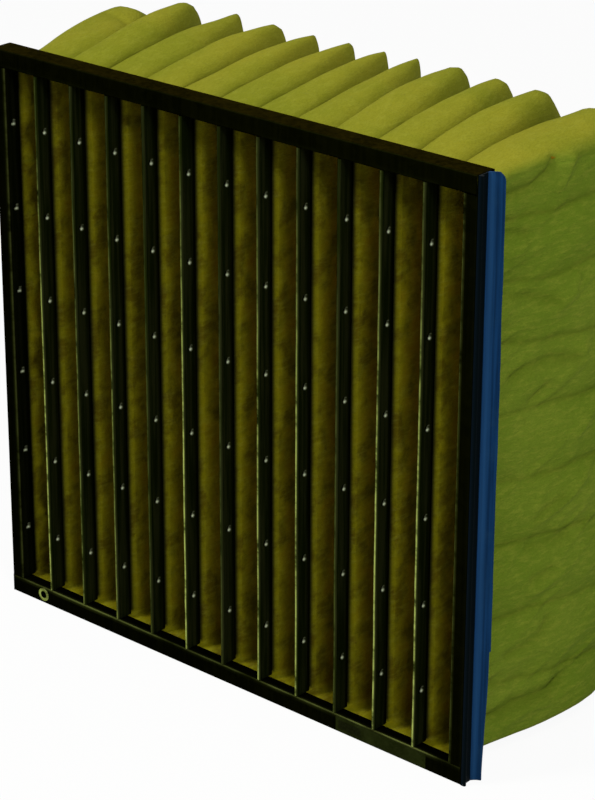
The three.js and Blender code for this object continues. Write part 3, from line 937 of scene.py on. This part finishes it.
def plain_label(material):
    """A thin blank plate on the bottom rail, its front face slightly uneven."""
    low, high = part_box("blank_label")
    across = np.linspace(low.x, high.x, 56) / MM
    up = np.linspace(low.z, high.z, 14) / MM
    points, panel = [], []
    for lift in (high.y / MM, low.y / MM):
        for z in up:
            for x in across:
                curl = 0.1 * smooth_noise([x], [z], 24.0, 50)[0]
                points.append((x, lift + (curl - 0.1 if lift < high.y / MM - 0.1 else 0), z))
                inside = (LABEL_FIELD[0][0] < x - across[0] < LABEL_FIELD[0][1]
                          and LABEL_FIELD[1][0] < z - up[0] < LABEL_FIELD[1][1])
                panel.append(0.85 if inside else 0.0)
    wide, tall = len(across), len(up)

    def at(side, j, i):
        return (side * tall + j) * wide + i

    faces = [(at(s, j, i), at(s, j, i + 1), at(s, j + 1, i + 1), at(s, j + 1, i))
             for s in (0, 1) for j in range(tall - 1) for i in range(wide - 1)]
    faces += [(at(0, j, i), at(0, j, i + 1), at(1, j, i + 1), at(1, j, i))
              for j in (0, tall - 1) for i in range(wide - 1)]
    faces += [(at(0, j, i), at(0, j + 1, i), at(1, j + 1, i), at(1, j, i))
              for i in (0, wide - 1) for j in range(tall - 1)]
    piece = make_piece("label_plate", points, faces, material, {"panel": panel})
    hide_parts("blank_label")


def knockout(rail_piece, material):
    """A round hole near the bottom rail's left end, inside a low pressed ring."""
    bpy.ops.mesh.primitive_cylinder_add(vertices=40, radius=HOLE_RADIUS * MM, depth=6 * MM,
                                        location=(HOLE_X * MM, FRONT * MM, HOLE_Z * MM),
                                        rotation=(math.pi / 2, 0, 0))
    drill = bpy.context.object
    cut = rail_piece.modifiers.new("hole", "BOOLEAN")
    cut.operation = "DIFFERENCE"
    cut.solver = "EXACT"
    cut.object = drill
    graph = bpy.context.evaluated_depsgraph_get()
    cut_mesh = bpy.data.meshes.new_from_object(rail_piece.evaluated_get(graph))
    rail_piece.modifiers.clear()
    rail_piece.data = cut_mesh
    bpy.data.objects.remove(drill)
    points, turns = [], 48
    for n in range(turns):
        angle = 2 * math.pi * n / turns
        points += [(HOLE_X + r * math.cos(angle), FRONT + out, HOLE_Z + r * math.sin(angle))
                   for r, out in HOLE_RING]
    # The ring carries a painted highlight.
    make_piece("knockout_ring", points, ring_faces(turns, len(HOLE_RING), True), material,
               {"painted_highlight": [0.6] * len(points)})


# Studio

LAMP_AIM = Vector((0.0, 0.1, 0.3))
LAMP_SIZE = 0.8
LAMPS = [("key", (-1.3, -2.1, 3.4), 90.0, (1.0, 0.99, 0.95)),
         ("fill", (2.0, -1.4, 2.9), 60.0, (0.97, 1.0, 0.95))]
SKY_LIGHT = (0.26, 0.27, 0.265)
FLOOR_REACH = 14.0
FLOOR_GLOW = 0.94


def seen_plainly(wire):
    """1 for rays from the camera, also in gloss or through glass, and 0 for light that bounces."""
    seen = wire.node("ShaderNodeLightPath", output="Is Camera Ray")
    seen = seen.most(wire.node("ShaderNodeLightPath", output="Is Glossy Ray"))
    return seen.most(wire.node("ShaderNodeLightPath", output="Is Transmission Ray"))


def sky():
    """A white backdrop that lights the filter only at a plain level."""
    world = bpy.data.worlds.new("studio")
    bpy.context.scene.world = world
    world.use_nodes = True
    background = world.node_tree.nodes["Background"]
    feed(background, "Color", seen_plainly(Wire(world.node_tree)).colour(SKY_LIGHT, (1, 1, 1)))
    feed(background, "Strength", 1.0)


def pale_floor():
    """A pale floor that looks white and keeps a faint shadow."""
    mesh = bpy.data.meshes.new("floor")
    corners = [(x * FLOOR_REACH, y * FLOOR_REACH, 0) for x, y in ((-1, -1), (1, -1), (1, 1), (-1, 1))]
    mesh.from_pydata(corners, [], [(0, 1, 2, 3)])
    floor = bpy.data.objects.new("floor", mesh)
    bpy.context.scene.collection.objects.link(floor)
    material, wire, shader = new_finish("pale_floor")
    feed(shader, "Base Color", (0.82, 0.82, 0.82, 1))
    feed(shader, "Roughness", 0.9)
    feed(shader, "Specular IOR Level", 0.05)
    glow = wire.node("ShaderNodeEmission", inputs={"Color": (1, 1, 1, 1), "Strength": 1.0})
    lit = Wire(wire.tree, shader.outputs[0])
    share = seen_plainly(wire) * FLOOR_GLOW
    both = wire.node("ShaderNodeMixShader", inputs={0: share, 1: lit, 2: glow})
    feed(wire.tree.nodes["Material Output"], "Surface", both)
    mesh.materials.append(material)


def lamps():
    for name, place, power, colour in LAMPS:
        lamp = bpy.data.lights.new(name, "AREA")
        lamp.shape = "DISK"
        lamp.size = LAMP_SIZE
        lamp.energy = power
        lamp.color = colour
        holder = bpy.data.objects.new(name, lamp)
        holder.location = place
        holder.rotation_mode = "QUATERNION"
        holder.rotation_quaternion = (LAMP_AIM - Vector(place)).to_track_quat("-Z", "Y")
        bpy.context.scene.collection.objects.link(holder)


# Build

media = media_finish()
steel = steel_finish()
for number in range(1, POCKETS):
    divider(number, steel)
rail(True, steel)
knockout(rail(False, steel), steel)
post(-1, steel)
post(1, steel)
for pocket in range(POCKETS):
    pocket_piece(pocket, media)
side_seal(seal_finish())
plain_label(label_finish())
bpy.context.scene.view_settings.view_transform = "Standard"
sky()
pale_floor()
lamps()
